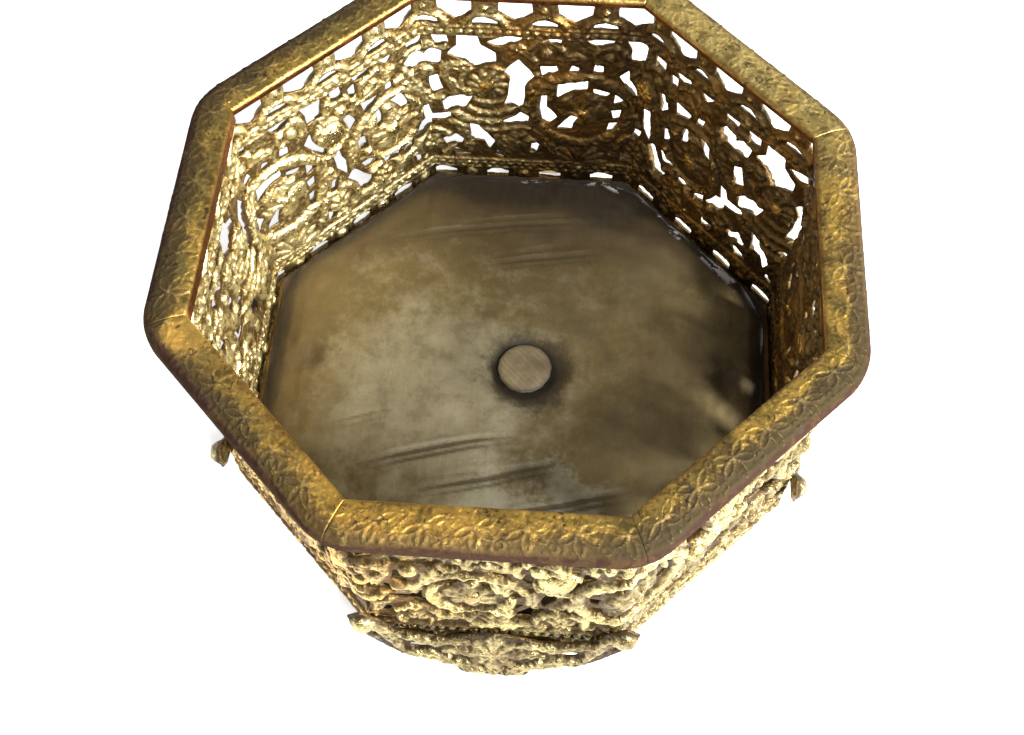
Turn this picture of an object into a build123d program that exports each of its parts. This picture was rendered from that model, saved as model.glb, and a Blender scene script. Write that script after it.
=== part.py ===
"""Open octagonal trinket box in gilt brass: pierced filigree walls under a stamped rim, four flared
bracket feet, a sheet base, and a padded satin cushion drawn down by one covered button.

Frame: millimetres, +Z up, origin on the ground under the centre of the base. The front faces -Y.
Depths are measured down from the top of the rim, because the bands of the filigree hang from it.
"""
import os
from math import cos, pi, radians, sin, tan

from build123d import *

# ---------------------------------------------------------------- driving dimensions
OPENING = 100.0  # across the flats, inside the rim
RIM_WIDTH = 7.5
RIM_TOP = 62.0
RIM_SHEET = 0.7
RIM_OUTER_LIP = 3.0
RIM_INNER_LIP = 3.4
RIM_CORNER_RADIUS = 18.0
RIM_EDGE_RADIUS = 1.7

WALL_INSIDE = 51.3  # centre to the inner face of a panel
WALL_SHEET = 1.6
WALL_DEPTH = 57.7  # rim top to the lower edge of the walls
WALL_TOP_DEPTH = 1.2

REPEATS = 5  # the stamped pattern repeats this often round the eight sides
RING_START = 5.0  # first ring medallion, from the start of the back left panel
ARCADES = 6  # arcade openings in one repeat
ARCADE_SHIFT = -1.0

BASE_SHEET = 0.8
BASE_DEPTH = 57.1  # rim top to the underside of the base sheet
BOARD_THICK = 1.6
COVER_THICK = 0.4
CUSHION_INSIDE = 50.6  # centre to a straight edge of the cushion
CUSHION_EDGE_DEPTH = 53.6
CUSHION_CROWN = 4.0
HEM_WIDTH = 6.0
AIR = 0.1  # room between soft layers

BUTTON_OFFSET = 2.0  # the button sits a little right of the middle
BUTTON_RADIUS = 5.2
BUTTON_RISE = 2.2
BUTTON_SHEET = 0.5
BUTTON_CLOTH = 0.3
BUTTON_BACK = 0.3
BUTTON_DEPTH = 51.4  # rim top to the seat of the button's shell
DIMPLE_RADIUS = 9.0
THREAD_RADIUS = 0.5
THREAD_SLIT = 1.5

FOOT_SHEET = 1.2
FOOT_FLARE = 4.25  # how far the sole stands out from the foot's top edge
FOOT_BOW = 1.05  # the same, half way up
FOOT_TOP = 16.5
FOOT_SPAN = 50.4
FOOT_SPARE = 1.2  # drawn below the ground and trimmed to a flat sole
FOOT_STANDOFF = 0.05
LUG_OFFSET = 11.0
LUG_SIZE = 2.4

# Openings of one pattern repeat: along the wall from the ring's centre, depth, half width,
# half height, clockwise lean in degrees, seen from inside the box.
RING_OPENINGS = [
    (-5.9, 21.6, 1.8, 1.4, -10),
    (-0.5, 21.2, 0.8, 0.8, 0),
    (4.1, 20.7, 0.9, 1.0, 0),
    (-1.2, 26.0, 2.9, 1.2, -20),
    (4.8, 27.6, 1.4, 0.6, 15),
    (-6.1, 33.2, 1.1, 3.7, -14),
    (-1.6, 37.2, 0.9, 2.2, 35),
    (8.4, 29.6, 1.0, 1.0, 0),
    (8.1, 33.7, 0.8, 1.0, 0),
    (7.5, 38.0, 0.7, 1.4, 20),
    (10.4, 24.6, 0.9, 3.8, -34),
    (11.5, 15.0, 1.8, 2.4, -5),
    (4.1, 13.4, 2.0, 0.7, 0),
]
SCROLL_OPENINGS = [
    (15.6, 33.6, 1.1, 3.6, -12),
    (13.1, 38.7, 0.7, 1.6, 25),
    (17.2, 14.4, 1.1, 1.3, 0),
    (20.9, 16.3, 0.6, 1.2, 0),
    (23.4, 13.5, 1.5, 0.7, 0),
    (19.0, 24.0, 0.8, 2.1, -10),
    (24.4, 22.4, 1.7, 1.2, -12),
    (21.2, 32.1, 0.9, 1.6, 0),
    (19.4, 42.0, 1.3, 3.6, -32),
    (22.2, 39.1, 1.7, 0.9, 0),
]
ROSETTE_OPENINGS = [
    (26.0, 28.0, 0.6, 2.0, 0),
    (29.1, 21.0, 0.8, 1.1, 0),
    (31.4, 27.2, 1.0, 2.4, -25),
    (36.1, 13.9, 1.5, 0.8, 0),
    (37.8, 19.0, 3.8, 1.4, 0),
    (27.6, 41.4, 1.9, 1.0, 0),
    (32.0, 42.2, 1.1, 1.1, 0),
    (36.2, 39.4, 2.6, 1.1, -35),
]
URN_OPENINGS = [
    (40.2, 27.0, 1.2, 2.4, -10),
    (40.2, 36.6, 2.7, 0.9, 0),
    (44.3, 32.6, 2.9, 1.8, -30),
    (41.9, 14.2, 1.3, 1.2, 0),
    (48.6, 17.2, 3.8, 3.4, 0),
    (54.8, 13.9, 2.4, 0.8, -8),
    (57.2, 26.4, 1.8, 5.8, 6),
    (56.6, 37.0, 2.2, 1.4, -15),
    (49.1, 42.8, 1.3, 3.6, -30),
    (43.1, 44.5, 2.0, 1.2, 0),
    (43.9, 48.6, 1.5, 0.9, 10),
]
OPENINGS = RING_OPENINGS + SCROLL_OPENINGS + ROSETTE_OPENINGS + URN_OPENINGS

ARCADE_OPENING = (3.3, 2.0, 6.1)  # half width, half height, depth of the centre
LENS_OPENING = (2.4, 0.6, 9.3)
LOW_OPENING = (2.6, 1.2, 54.6)

# ---------------------------------------------------------------- worked out
SIDES = 8
TURN = 360 / SIDES
HALF = tan(pi / SIDES)  # half the length of a side over its distance from the centre
CORNER = 1 / cos(pi / SIDES)
INSIDE = OPENING / 2
OUTSIDE = INSIDE + RIM_WIDTH
WALL_OUTSIDE = WALL_INSIDE + WALL_SHEET
WALL_MIDDLE = WALL_INSIDE + WALL_SHEET / 2
SIDE_LENGTH = 2 * WALL_MIDDLE * HALF
REPEAT = SIDES * SIDE_LENGTH / REPEATS
WALL_BOTTOM = RIM_TOP - WALL_DEPTH
WALL_TOP = RIM_TOP - WALL_TOP_DEPTH
BASE_BOTTOM = RIM_TOP - BASE_DEPTH
HEM_BOTTOM = BASE_BOTTOM + BASE_SHEET
BOARD_BOTTOM = HEM_BOTTOM + COVER_THICK + AIR
BOARD_TOP = BOARD_BOTTOM + BOARD_THICK
CUSHION_EDGE = RIM_TOP - CUSHION_EDGE_DEPTH
CUSHION_TOP = CUSHION_EDGE + CUSHION_CROWN
CUSHION_CORNER = CUSHION_INSIDE * CORNER
CROWN_RADIUS = (CUSHION_CORNER**2 + CUSHION_CROWN**2) / (2 * CUSHION_CROWN)
CROWN_CENTRE = CUSHION_TOP - CROWN_RADIUS
BUTTON_SEAT = RIM_TOP - BUTTON_DEPTH

# Clockwise from above, in the order the pattern runs: name and the way the side faces.
SIDE_NAMES = [
    "back_left",
    "back",
    "back_right",
    "right",
    "front_right",
    "front",
    "front_left",
    "left",
]
FACING = {name: 135 - TURN * k for k, name in enumerate(SIDE_NAMES)}
FOOT_SIDES = ["front", "right", "back", "left"]


def octagon(inside, height, bottom):
    """Upright octagonal prism, flat sides facing the axes."""
    plan = RegularPolygon(inside, SIDES, major_radius=False, rotation=TURN / 2)
    return Pos(0, 0, bottom) * extrude(plan, height)


def face_side(shape, name):
    """Turns a shape made for the back side so that it faces the way the named side does."""
    return Rot(0, 0, FACING[name] - 90) * shape


# ---------------------------------------------------------------- rim
def rim_ring():
    """The whole rim: a channel with a wide rounded outer lip and a plain inner lip."""

    def rounded(inside, radius, height, bottom, edge):
        block = octagon(inside, height, bottom)
        block = fillet(block.edges().filter_by(Axis.Z), radius)
        return fillet(block.edges().group_by(Axis.Z)[-1], edge)

    deep = RIM_TOP - RIM_OUTER_LIP
    outer = rounded(OUTSIDE, RIM_CORNER_RADIUS, RIM_OUTER_LIP, deep, RIM_EDGE_RADIUS)
    hollow = rounded(
        OUTSIDE - RIM_SHEET,
        RIM_CORNER_RADIUS - RIM_SHEET,
        RIM_OUTER_LIP - RIM_SHEET,
        deep,
        RIM_EDGE_RADIUS - RIM_SHEET,
    )
    lip_bottom = RIM_TOP - RIM_INNER_LIP
    lip = octagon(INSIDE + RIM_SHEET, RIM_INNER_LIP, lip_bottom)
    opening = octagon(INSIDE, 3 * RIM_INNER_LIP, lip_bottom - RIM_INNER_LIP)
    return outer - hollow + lip - opening


def rim_length(ring, name):
    """One mitred length of the rim, cut from the ring by a wedge."""
    reach = 2 * OUTSIDE
    wedge = Polygon((0, 0), (reach, -reach * HALF), (reach, reach * HALF), align=None)
    wedge = Pos(0, 0, RIM_TOP - 4 * RIM_INNER_LIP) * extrude(wedge, 8 * RIM_INNER_LIP)
    return ring & (Rot(0, 0, FACING[name]) * wedge)


# ---------------------------------------------------------------- filigree walls
def wall_openings(start):
    """The openings that fall on a panel: (along from its middle, depth, half width, half height, lean)."""
    found = []
    first = RING_START - 2 * REPEAT
    for n in range(REPEATS + 4):
        ring = first + n * REPEAT
        for along, depth, wide, high, lean in OPENINGS:
            found.append((ring + along, depth, wide, high, lean))
        for k in range(ARCADES):
            pillar = ring + ARCADE_SHIFT + k * REPEAT / ARCADES
            found.append((pillar, ARCADE_OPENING[2], ARCADE_OPENING[0], ARCADE_OPENING[1], 0))
            between = pillar + REPEAT / ARCADES / 2
            for wide, high, depth in (LENS_OPENING, LOW_OPENING):
                found.append((between, depth, wide, high, 0))
    middle = start + SIDE_LENGTH / 2
    reach = SIDE_LENGTH / 2 - 1.5
    return [(a - middle, d, w, h, t) for a, d, w, h, t in found if abs(a - middle) + w < reach]


def wall_panel(index, name):
    """One pierced panel, mitred at both ends where it meets its neighbours."""
    plan = Polygon(
        (-WALL_INSIDE * HALF, WALL_INSIDE),
        (WALL_INSIDE * HALF, WALL_INSIDE),
        (WALL_OUTSIDE * HALF, WALL_OUTSIDE),
        (-WALL_OUTSIDE * HALF, WALL_OUTSIDE),
        align=None,
    )
    panel = Pos(0, 0, WALL_BOTTOM) * extrude(plan, WALL_TOP - WALL_BOTTOM)
    outline = Sketch()
    for along, depth, wide, high, lean in wall_openings(index * SIDE_LENGTH):
        outline += Pos(along, RIM_TOP - depth) * Rot(0, 0, -lean) * Ellipse(wide, high)
    cutter = extrude(Plane.XZ * outline, 2 * WALL_OUTSIDE, both=True)
    cutter &= Pos(0, WALL_MIDDLE, RIM_TOP / 2) * Box(2 * OPENING, 4 * WALL_SHEET, 2 * RIM_TOP)
    return face_side(panel - cutter, name)


# ---------------------------------------------------------------- feet
def foot_outline():
    """Bracket seen from outside: a shell in the middle, long low arms, and an upturned tip at each end."""
    half = FOOT_SPAN / 2
    edge = Polyline(
        (0, 11.6),
        (4.5, 10.6),
        (9.0, 9.0),
        (half - 7.2, 9.4),
        (half - 3.7, 12.6),
        (half - 1.6, FOOT_TOP),
        (half, FOOT_TOP - 1.5),
        (half - 0.6, 11.0),
        (half - 2.5, 8.3),
        (half - 5.7, 5.9),
        (half - 8.0, 4.5),
        (12.0, 3.4),
        (6.9, 2.0),
        (4.9, -0.4),
        (4.4, -FOOT_SPARE),
        (0, -FOOT_SPARE),
        (0, 11.6),
    )
    shape = make_face(edge)
    return shape + mirror(shape, Plane.YZ)


def foot_band(sheet):
    """The bowed section that the bracket is pressed to, run along the side."""
    near = WALL_OUTSIDE + FOOT_STANDOFF
    foot = near + FOOT_FLARE * (1 + 2 * FOOT_SPARE / FOOT_TOP)
    middle = near + FOOT_BOW
    inner = ThreePointArc((near, FOOT_TOP), (middle, FOOT_TOP / 2), (foot, -FOOT_SPARE))
    outer = Pos(sheet, 0) * ThreePointArc((foot, -FOOT_SPARE), (middle, FOOT_TOP / 2), (near, FOOT_TOP))
    low = Line((foot, -FOOT_SPARE), (foot + sheet, -FOOT_SPARE))
    high = Line((near + sheet, FOOT_TOP), (near, FOOT_TOP))
    section = make_face([inner, low, outer, high])
    return extrude(Plane.YZ * section, FOOT_SPAN, both=True)


def bracket_foot(name):
    """A stamped bracket that flares out from the wall to the ground, held by two soldered lugs."""
    plate = extrude(Plane.XZ * foot_outline(), 2 * WALL_OUTSIDE, both=True) & foot_band(FOOT_SHEET)
    foot = plate - Pos(0, WALL_OUTSIDE, -FOOT_TOP) * Box(4 * FOOT_SPAN, 4 * FOOT_TOP, 2 * FOOT_TOP)
    lug_z = WALL_BOTTOM + LUG_SIZE
    for side in (-1, 1):
        lug = Pos(side * LUG_OFFSET, WALL_OUTSIDE + LUG_SIZE, lug_z) * Box(LUG_SIZE, 2 * LUG_SIZE, LUG_SIZE)
        foot += lug - Pos(0, FOOT_SHEET / 2, 0) * foot_band(4 * FOOT_TOP)
    return face_side(foot, name)


# ---------------------------------------------------------------- base and cushion
def base_plate():
    """Sheet base that drops inside the walls on to their solder."""
    return octagon(WALL_INSIDE, BASE_SHEET, BASE_BOTTOM)


def crowned(inside, bottom, below):
    """Octagonal block under a shallow dome, the given distance below the top skin, crowned at the button."""
    block = octagon(inside, 2 * CUSHION_TOP, bottom)
    return block & (Pos(BUTTON_OFFSET, 0, CROWN_CENTRE) * Sphere(CROWN_RADIUS - below))


def dimple(extra):
    """The pit that the button is pulled down into, opened by the given margin."""
    depth = CUSHION_TOP - BUTTON_SEAT + 2 * AIR
    floor = BUTTON_SEAT - AIR - extra
    return Pos(BUTTON_OFFSET, 0, floor + depth) * Cone(
        BUTTON_RADIUS + 0.3 + extra, DIMPLE_RADIUS + extra, 2 * depth
    )


def thread_hole():
    return Pos(BUTTON_OFFSET, 0, CUSHION_TOP / 2) * Box(THREAD_SLIT, THREAD_SLIT, 2 * CUSHION_TOP)


def cushion_board():
    """Card stiffener that the satin is stretched over."""
    return octagon(CUSHION_INSIDE - COVER_THICK - AIR, BOARD_THICK, BOARD_BOTTOM) - thread_hole()


def cushion_wadding():
    """Cotton wadding between the board and the satin."""
    pad = crowned(CUSHION_INSIDE - COVER_THICK - AIR, BOARD_TOP + AIR, COVER_THICK + AIR)
    return pad - dimple(COVER_THICK + AIR) - thread_hole()


def cushion_cover():
    """Satin skin, turned under the board in a hem."""
    skin = crowned(CUSHION_INSIDE, HEM_BOTTOM + AIR, 0) - dimple(0)
    inner = crowned(CUSHION_INSIDE - COVER_THICK, HEM_BOTTOM, COVER_THICK) - dimple(COVER_THICK)
    hem = octagon(CUSHION_INSIDE - COVER_THICK / 2, COVER_THICK - AIR, HEM_BOTTOM + AIR)
    hem -= octagon(CUSHION_INSIDE - HEM_WIDTH, 2 * COVER_THICK, HEM_BOTTOM - COVER_THICK / 2)
    return skin - inner + hem - thread_hole()


# ---------------------------------------------------------------- button
def domed_cap(radius, rise, sheet):
    """Shallow dome of sheet with a short skirt, open underneath, standing on the button's seat."""

    def crown(wide, high):
        shoulder = (wide, high / 4)
        return shoulder, ThreePointArc((0, high), (0.72 * wide, 0.76 * high), shoulder)

    outer_end, outer = crown(radius, rise)
    inner_end, inner = crown(radius - sheet, rise - sheet)
    lip = Polyline(outer_end, (radius, 0), (radius - sheet, 0), inner_end)
    axis = Line((0, rise - sheet), (0, rise))
    section = make_face([outer, lip, inner, axis])
    return Pos(BUTTON_OFFSET, 0, BUTTON_SEAT + AIR) * revolve(Plane.XZ * section, Axis.Z)


def button_cloth():
    """The satin stretched over the button."""
    return domed_cap(BUTTON_RADIUS, BUTTON_RISE, BUTTON_CLOTH)


def button_shell():
    """Domed metal shell that carries the button's cloth."""
    inset = BUTTON_CLOTH + AIR / 2
    return domed_cap(BUTTON_RADIUS - inset, BUTTON_RISE - inset, BUTTON_SHEET)


def button_back():
    """Disc pressed into the shell, with the slot that the thread passes through."""
    radius = BUTTON_RADIUS - BUTTON_CLOTH - BUTTON_SHEET - AIR
    disc = Pos(BUTTON_OFFSET, 0, BUTTON_SEAT + AIR + BUTTON_BACK / 2) * Cylinder(radius, BUTTON_BACK)
    return disc - thread_hole()


def tuft_thread():
    """Waxed thread from the button down through the board to its knot."""
    knot_high = BOARD_BOTTOM - HEM_BOTTOM - 0.1
    knot = Pos(BUTTON_OFFSET, 0, HEM_BOTTOM + 0.05 + knot_high / 2) * Cylinder(1.6, knot_high)
    top = BUTTON_SEAT + 1.0
    middle = (HEM_BOTTOM + 0.3 + top) / 2
    run = Pos(BUTTON_OFFSET, 0, middle) * Cylinder(THREAD_RADIUS, top - HEM_BOTTOM - 0.3)
    return knot + run


# ---------------------------------------------------------------- the box
def build():
    parts = {}
    ring = rim_ring()
    for index, name in enumerate(SIDE_NAMES):
        parts["rim_length_" + name] = rim_length(ring, name)
        parts["filigree_panel_" + name] = wall_panel(index, name)
    for name in FOOT_SIDES:
        parts["bracket_foot_" + name] = bracket_foot(name)
    parts["base_plate"] = base_plate()
    parts["cushion_board"] = cushion_board()
    parts["cushion_wadding"] = cushion_wadding()
    parts["cushion_cover"] = cushion_cover()
    parts["button_cloth"] = button_cloth()
    parts["button_shell"] = button_shell()
    parts["button_back"] = button_back()
    parts["tuft_thread"] = tuft_thread()
    return parts


def main():
    os.makedirs("parts", exist_ok=True)
    for name, shape in build().items():
        export_step(shape, "parts/" + name + ".step")
        print(name, len(shape.solids()), "solid(s)", round(shape.volume, 2), "mm3")


main()
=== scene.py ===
"""Looks for the octagonal filigree trinket box: embossed rim, pierced relief walls, scroll feet,
a soiled satin cushion with its covered button, aged gilt brass, floor, light and camera. Some
colours carry painted shade, painted shadow and painted highlights as well.

Lengths are in millimetres until a mesh is made, in the part's own frame.
"""

from math import cos, pi, radians, sin, tan

import bpy
import numpy as np
from mathutils import Matrix, Vector


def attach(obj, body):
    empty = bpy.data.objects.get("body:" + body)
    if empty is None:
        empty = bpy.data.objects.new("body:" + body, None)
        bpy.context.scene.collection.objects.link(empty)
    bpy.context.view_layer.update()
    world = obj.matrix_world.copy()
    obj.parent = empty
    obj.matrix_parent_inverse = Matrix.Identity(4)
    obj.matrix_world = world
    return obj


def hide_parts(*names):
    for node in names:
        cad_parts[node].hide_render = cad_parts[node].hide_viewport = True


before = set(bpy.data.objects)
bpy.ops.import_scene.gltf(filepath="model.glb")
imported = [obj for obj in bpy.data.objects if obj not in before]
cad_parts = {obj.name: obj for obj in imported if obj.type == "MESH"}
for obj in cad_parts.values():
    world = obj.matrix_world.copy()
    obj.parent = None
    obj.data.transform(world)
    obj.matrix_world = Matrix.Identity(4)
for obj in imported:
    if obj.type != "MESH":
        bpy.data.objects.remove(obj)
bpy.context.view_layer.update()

MM = 0.001
SIDES = 8
HALF = tan(pi / SIDES)
RIM_TOP = 62.0
SIDE_NAMES = ["back_left", "back", "back_right", "right", "front_right", "front", "front_left", "left"]
FACING = {name: 135 - 45 * k for k, name in enumerate(SIDE_NAMES)}
FOOT_SIDES = ["front", "right", "back", "left"]


# ---------------- meshes
def new_object(name, data):
    obj = bpy.data.objects.new(name, data)
    bpy.context.scene.collection.objects.link(obj)
    return obj


def new_mesh(name, points, triangles, flat=None, attributes=None):
    """A mesh object from points in millimetres and triangles; flat marks faces with sharp borders."""
    mesh = bpy.data.meshes.new(name)
    mesh.vertices.add(len(points))
    mesh.vertices.foreach_set("co", (points * MM).astype(np.float32).ravel())
    mesh.loops.add(3 * len(triangles))
    mesh.loops.foreach_set("vertex_index", triangles.astype(np.int32).ravel())
    mesh.polygons.add(len(triangles))
    mesh.polygons.foreach_set("loop_start", np.arange(0, 3 * len(triangles), 3, dtype=np.int32))
    smooth = np.ones(len(triangles), bool) if flat is None else ~flat
    mesh.polygons.foreach_set("use_smooth", smooth)
    mesh.update(calc_edges=True)
    mesh.validate()
    for key, values in (attributes or {}).items():
        layer = mesh.attributes.new(key, "FLOAT", "POINT")
        layer.data.foreach_set("value", values.astype(np.float32))
    return new_object(name, mesh)


def turned(points, name):
    """Points made for the back side, turned to face the way the named side does."""
    a = radians(FACING[name] - 90)
    x, y, z = points.T
    return np.stack([x * cos(a) - y * sin(a), x * sin(a) + y * cos(a), z], 1)


def grid_triangles(nx, ny):
    """Triangles of a grid whose points run along x first, with diagonals that alternate."""
    i, j = np.meshgrid(np.arange(nx - 1), np.arange(ny - 1))
    a = (j * nx + i).ravel()
    b, c, d = a + 1, a + nx + 1, a + nx
    odd = ((i + j) % 2 == 1).ravel()
    one = np.where(odd[:, None], np.stack([a, b, d], 1), np.stack([a, b, c], 1))
    two = np.where(odd[:, None], np.stack([b, c, d], 1), np.stack([a, c, d], 1))
    return np.concatenate([one, two])


def strip(a, b, n):
    """Triangles that join the edges a to b to the same edges n points further on."""
    return np.concatenate([np.stack([a, b, b + n], 1), np.stack([a, b + n, a + n], 1)])


def clip(triangles, field):
    """The part of the triangles where field is positive: (triangles, crossed edges, weights).
    Indices from len(field) up are the new points on the crossed edges."""
    inside = field[triangles] > 0
    count = inside.sum(1)
    rows = np.arange(len(triangles))
    turn = np.where(count == 1, inside.argmax(1), inside.argmin(1))
    rolled = triangles[rows[:, None], (turn[:, None] + np.arange(3)) % 3]
    one, two = rolled[count == 1], rolled[count == 2]
    edges = np.sort(np.concatenate([one[:, [0, 1]], one[:, [0, 2]], two[:, [0, 1]], two[:, [0, 2]]]), 1)
    unique, index = np.unique(edges, axis=0, return_inverse=True)
    index = index.ravel() + len(field)
    n1, n2 = len(one), len(two)
    ab1, ac1 = index[:n1], index[n1 : 2 * n1]
    ab2, ac2 = index[2 * n1 : 2 * n1 + n2], index[2 * n1 + n2 :]
    made = [
        triangles[count == 3],
        np.stack([one[:, 0], ab1, ac1], 1),
        np.stack([ab2, two[:, 1], two[:, 2]], 1),
        np.stack([ab2, two[:, 2], ac2], 1),
    ]
    fa, fb = field[unique[:, 0]], field[unique[:, 1]]
    return np.concatenate(made), unique, (fa / (fa - fb))


def without_scraps(points, faces, *per_point):
    """The largest connected piece of a mesh, with its per-point values, and which faces were kept."""
    label = np.arange(len(points))
    while True:
        low = label[faces].min(1)
        new = label.copy()
        for k in range(3):
            np.minimum.at(new, faces[:, k], low)
        new = new[new]
        if (new == label).all():
            break
        label = new
    keep = label == np.bincount(label).argmax()
    kept_faces = keep[faces[:, 0]]
    index = np.cumsum(keep) - 1
    return points[keep], index[faces[kept_faces]], kept_faces, [values[keep] for values in per_point]


def pierced_plate(u, v, field, front, back, place, shades):
    """Closed relief plate over the grid u, v where field is positive. Front and back meet in a thin
    edge round each opening, and are joined by a wall at the plate's own ends."""
    gu, gv = np.meshgrid(u, v)
    gu, gv = gu.ravel(), gv.ravel()
    value = field(gu, gv)
    step = u[1] - u[0]
    value = np.where(np.abs(value) < 0.12 * step, np.where(value < 0, -0.12, 0.12) * step, value)
    triangles, edges, weight = clip(grid_triangles(len(u), len(v)), value)
    cu = gu[edges[:, 0]] + weight * (gu[edges[:, 1]] - gu[edges[:, 0]])
    cv = gv[edges[:, 0]] + weight * (gv[edges[:, 1]] - gv[edges[:, 0]])
    pu, pv = np.concatenate([gu, cu]), np.concatenate([gv, cv])
    shared = np.concatenate([np.zeros(len(gu), bool), np.ones(len(cu), bool)])
    used = np.zeros(len(pu), bool)
    used[triangles.ravel()] = True
    new = np.cumsum(used) - 1
    triangles = new[triangles]
    pu, pv, shared = pu[used], pv[used], shared[used]
    depth = np.concatenate([value, np.zeros(len(cu))])[used]
    f = np.where(shared, 0, front(pu, pv, depth))
    b = np.where(shared, 0, back(pu, pv, depth))
    n = len(pu)
    other = np.where(shared, np.arange(n), n + np.cumsum(~shared) - 1)
    points = np.concatenate([place(pu, pv, f), place(pu, pv, -b)[~shared]])
    directed = np.concatenate([triangles[:, [0, 1]], triangles[:, [1, 2]], triangles[:, [2, 0]]])
    key = directed[:, 0].astype(np.int64) * n + directed[:, 1]
    reverse = directed[:, 1].astype(np.int64) * n + directed[:, 0]
    rim = directed[~np.isin(key, reverse)]
    p, q = rim[:, 0], rim[:, 1]
    wall_one = np.stack([q, p, other[p]], 1)[~shared[p]]
    wall_two = np.stack([q, other[p], other[q]], 1)[~shared[q]]
    behind = other[triangles][:, ::-1]
    faces = np.concatenate([triangles, behind, wall_one, wall_two])
    flat = np.zeros(len(faces), bool)
    flat[2 * len(triangles) :] = True
    tone = np.concatenate([shades(pu, pv, depth, f), shades(pu, pv, depth, b)[~shared]])
    within = np.concatenate([np.where(shared, 0.5, 0.0), np.ones(len(tone) - n)])
    points, faces, kept, (tone, within) = without_scraps(points, faces, tone, within)
    return points, faces, flat[kept], tone, within


# ---------------- shapes to draw with
def polygon_distance(x, y, corners):
    """Signed distance to a closed outline, positive inside."""
    best = np.full(x.shape, 1e9)
    inside = np.zeros(x.shape, bool)
    count = len(corners)
    for k in range(count):
        (ax, ay), (bx, by) = corners[k], corners[(k + 1) % count]
        ex, ey = bx - ax, by - ay
        wx, wy = x - ax, y - ay
        t = unit((wx * ex + wy * ey) / (ex * ex + ey * ey))
        best = np.minimum(best, np.hypot(wx - t * ex, wy - t * ey))
        crosses = (ay > y) != (by > y)
        safe = ey if abs(ey) > 1e-9 else 1e-9
        inside ^= crosses & (x < ax + (y - ay) * ex / safe)
    return np.where(inside, best, -best)


def unit(q):
    return np.clip(q, 0, 1)


def bell(q):
    return np.exp(-(q**2))


def rolled(depth, reach):
    """Quarter-round edge: 0 at the edge, 1 from reach inward."""
    return np.sqrt(1 - (1 - unit(depth / reach)) ** 2)


def along_line(dx, dy, ax, ay, bx, by):
    """An offset in the frame of the line a to b: share of its length, distance across it, its length."""
    length = np.hypot(bx - ax, by - ay)
    ex, ey = (bx - ax) / length, (by - ay) / length
    return (dx * ex + dy * ey) / length, -dx * ey + dy * ex, length


def dome(q):
    """Round section: 1 in the middle, 0 at and beyond q = 1."""
    return np.sqrt(unit(1 - q * q))


def waves(x, y, scale, seed):
    """Smooth irregular field between about -1 and 1, with features of the given size."""
    total = np.zeros(np.broadcast(x, y).shape)
    for k in range(5):
        a = seed * 1.7 + k * 2.399
        f = (0.7 + 0.23 * k) / scale
        total += np.sin(2 * pi * f * (x * cos(a) + y * sin(a)) + seed * 3.1 + k * k)
    return total / 3.0


# ---------------- filigree pattern
# The pattern repeats five times round the box. x runs along the wall from the ring medallion,
# clockwise from above, y is the depth below the top of the rim.
WALL_MIDDLE = 52.1
SIDE_LENGTH = 2 * WALL_MIDDLE * HALF
REPEAT = SIDES * SIDE_LENGTH / 5
RING_START = 5.0
PITCH = REPEAT / 6
ARCADE = -1.0
BEAD = REPEAT / 37
TOP_DEPTH = 1.2
LOW_DEPTH = 57.7

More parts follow.
